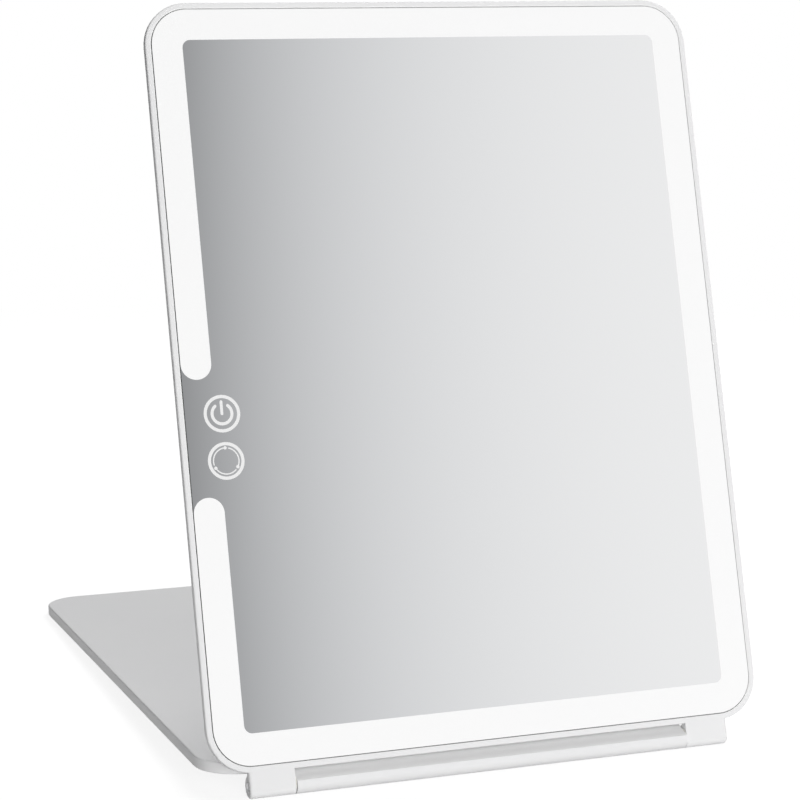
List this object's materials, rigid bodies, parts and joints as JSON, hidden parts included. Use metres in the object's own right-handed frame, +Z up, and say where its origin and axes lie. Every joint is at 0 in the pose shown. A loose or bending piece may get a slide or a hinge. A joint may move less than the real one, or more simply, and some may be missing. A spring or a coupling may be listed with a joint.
{
  "type": "folding lighted makeup mirror",
  "caption": "Slim lighted mirror panel hinged along its lower edge to a flat cover that shuts over the glass or folds round behind it as a stand.",
  "frame": {"origin": "middle of the object's footprint, on the surface it stands on", "axes": "+X to the right as seen by the user, +Y away from the user towards the stand, +Z up"},
  "size_m": [0.1736, 0.2316, 0.2227],
  "materials": {
    "shell_plastic": "white ABS, fine satin texture",
    "mirror_pane": "silvered glass with a frosted light band",
    "clear_tape": "clear acrylic adhesive",
    "diffuser_sheet": "milky diffuser sheet",
    "strip_board": "white board strip",
    "light_chip": "phosphor-coated light chip",
    "touch_copper": "plated copper pad",
    "circuit_board": "green board lacquer",
    "board_component": "black moulded components",
    "screw_steel": "zinc-plated steel",
    "socket_steel": "drawn stainless steel",
    "socket_black": "black moulding",
    "light_pipe": "clear acrylic",
    "cell_foil": "laminated foil pouch",
    "lead_sheath": "wire insulation",
    "magnet_nickel": "nickel-plated magnet",
    "pin_steel": "ground steel pin",
    "slide_plastic": "acetal",
    "bumper_silicone": "translucent silicone"
  },
  "bodies": {
    "mirror_panel": {"front_frame": "shell_plastic", "rear_cover": "shell_plastic", "mirror_glass": "mirror_pane", "glass_tape": "clear_tape", "light_diffuser": "diffuser_sheet", "led_strip_top": "strip_board", "led_strip_right": "strip_board", "led_strip_bottom": "strip_board", "led_strip_left_upper": "strip_board", "led_strip_left_lower": "strip_board", "led_chips": "light_chip", "strip_jumpers": "touch_copper", "strip_pins": "pin_steel", "power_touch_pad": "touch_copper", "tone_touch_pad": "touch_copper", "touch_board": "circuit_board", "touch_ribbon": "strip_board", "main_board": "circuit_board", "board_screws": "screw_steel", "board_parts": "board_component", "socket_shell": "socket_steel", "socket_tongue": "socket_black", "charge_light_pipe": "light_pipe", "battery_tape": "clear_tape", "battery_cell": "cell_foil", "battery_leads": "lead_sheath", "panel_magnets": "magnet_nickel", "hinge_pin_left": "pin_steel", "hinge_pin_right": "pin_steel"},
    "cover": {"cover_plate": "shell_plastic", "cover_magnets": "magnet_nickel", "friction_sleeve_left": "slide_plastic", "friction_sleeve_right": "slide_plastic", "thrust_washer_left": "slide_plastic", "thrust_washer_right": "slide_plastic", "far_bumpers": "bumper_silicone", "near_bumpers": "bumper_silicone"}
  },
  "joints": [
    {"name": "cover_hinge", "type": "hinge", "parent": "mirror_panel", "child": "cover", "pos_m": [0, -0.11247, 0.00335], "axis": [-1, 0, 0], "range_deg": [0, 285]}
  ]
}
